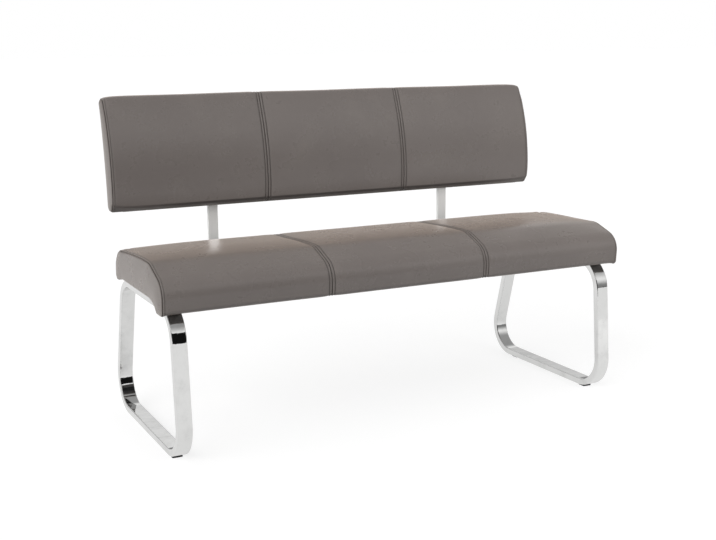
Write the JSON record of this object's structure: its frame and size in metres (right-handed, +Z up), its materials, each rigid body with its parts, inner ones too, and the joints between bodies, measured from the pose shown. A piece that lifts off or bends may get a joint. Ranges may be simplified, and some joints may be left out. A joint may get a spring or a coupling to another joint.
{
  "type": "dining bench",
  "caption": "Upholstered dining bench with a curved backrest, a waterfall seat and closed loop legs of bent chromed tube.",
  "frame": {"origin": "on the floor, under the middle of the bench's box", "axes": "+X along the bench, +Y from the seat's front to the back, +Z up"},
  "size_m": [1.4, 0.569, 0.9],
  "materials": {
    "leatherette": "satin grained leatherette, brown grey",
    "chrome": "bright chrome",
    "black_plastic": "matte black",
    "painted_steel": "black powder coat",
    "plywood": "raw beech plywood",
    "foam": "cut polyurethane foam",
    "lining": "black non-woven lining",
    "zinc_steel": "zinc plated"
  },
  "bodies": {
    "root": {"left_leg": "chrome", "right_leg": "chrome", "left_back_bracket": "chrome", "right_back_bracket": "chrome", "front_left_glide": "black_plastic", "front_right_glide": "black_plastic", "rear_left_glide": "black_plastic", "rear_right_glide": "black_plastic", "rail_end_caps": "black_plastic", "front_seat_rail": "painted_steel", "rear_seat_rail": "painted_steel", "seat_board": "plywood", "back_board": "plywood", "seat_foam": "foam", "back_foam": "foam", "seat_cover": "leatherette", "back_cover": "leatherette", "seat_dust_cover": "lining", "back_base_strip": "lining", "leg_bolts": "zinc_steel", "leg_washers": "zinc_steel", "seat_tee_nuts": "zinc_steel", "bracket_bolts": "zinc_steel", "bracket_washers": "zinc_steel", "back_bolts": "zinc_steel", "back_washers": "zinc_steel", "back_tee_nuts": "zinc_steel"}
  },
  "joints": []
}
